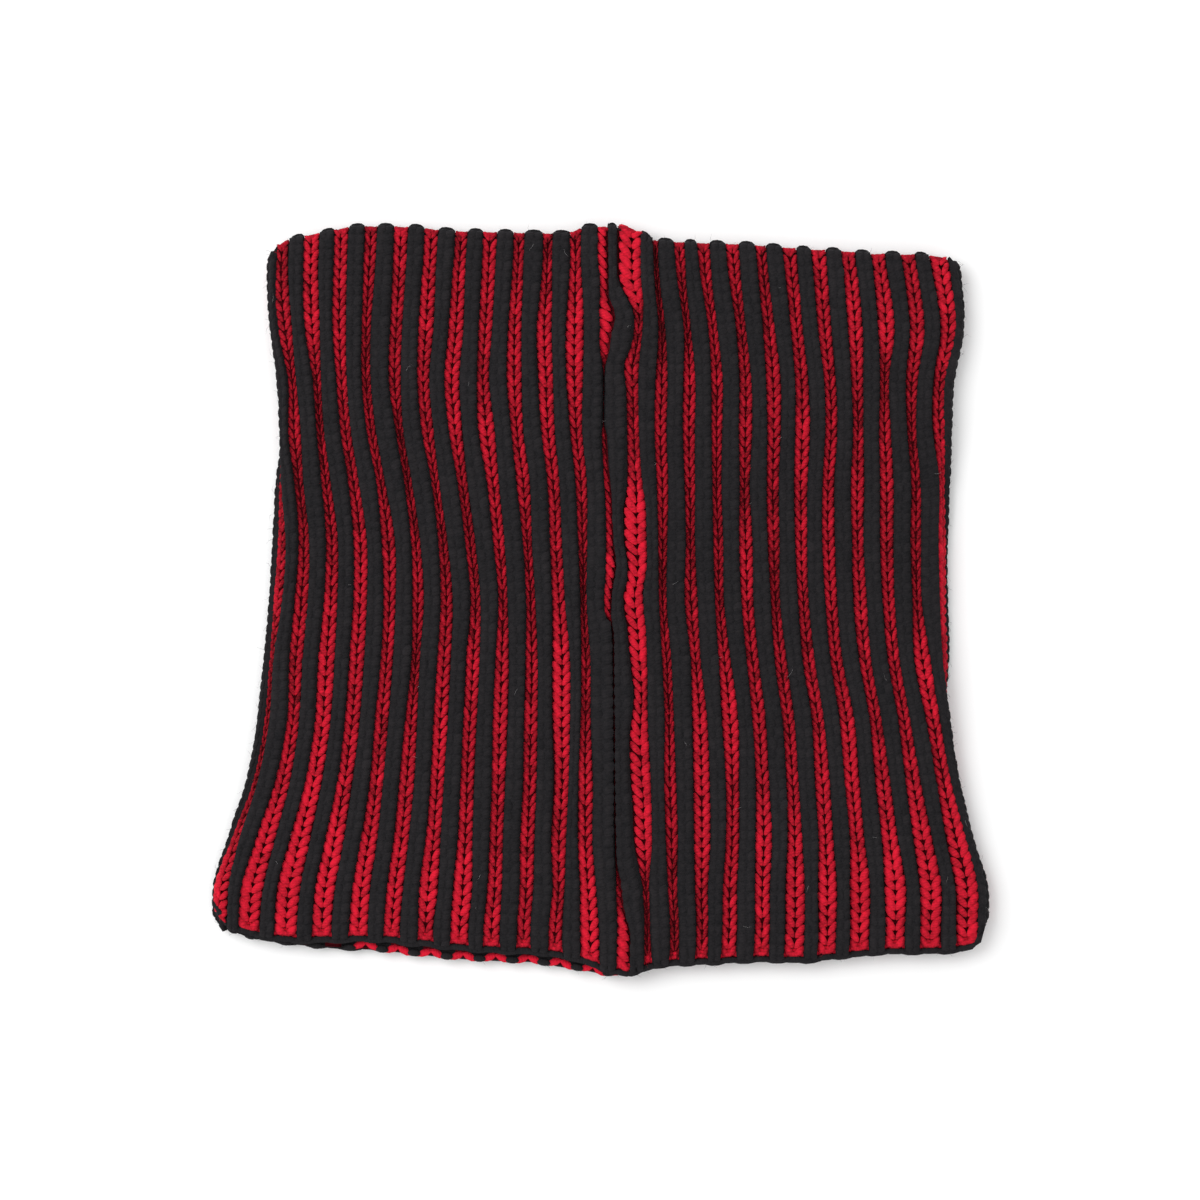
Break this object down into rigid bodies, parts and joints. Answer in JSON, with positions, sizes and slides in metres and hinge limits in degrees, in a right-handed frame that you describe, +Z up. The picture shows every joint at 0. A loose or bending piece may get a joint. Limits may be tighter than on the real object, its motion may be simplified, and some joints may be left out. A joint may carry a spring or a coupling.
{
  "type": "neck warmer",
  "caption": "Ribbed two-colour knitted neck warmer: a wide tube laid flat, seamed down the front and bound off along the bottom.",
  "frame": {"origin": "on the table, under the middle of the garment's bounding box", "axes": "+Z up from the table through both layers, +X to the right across the front, +Y from the bound-off bottom edge to the top edge"},
  "size_m": [0.3, 0.291, 0.011],
  "materials": {
    "knit_panel": "matte rib knit in black and red stripes",
    "black_yarn": "matte black yarn",
    "red_yarn": "matte red yarn"
  },
  "bodies": {
    "root": {"front_left": "knit_panel", "front_right": "knit_panel", "back": "knit_panel", "seam_yarn": "black_yarn", "bind_off_front_left": "black_yarn", "bind_off_front_right": "black_yarn", "bind_off_back": "black_yarn"}
  },
  "joints": []
}
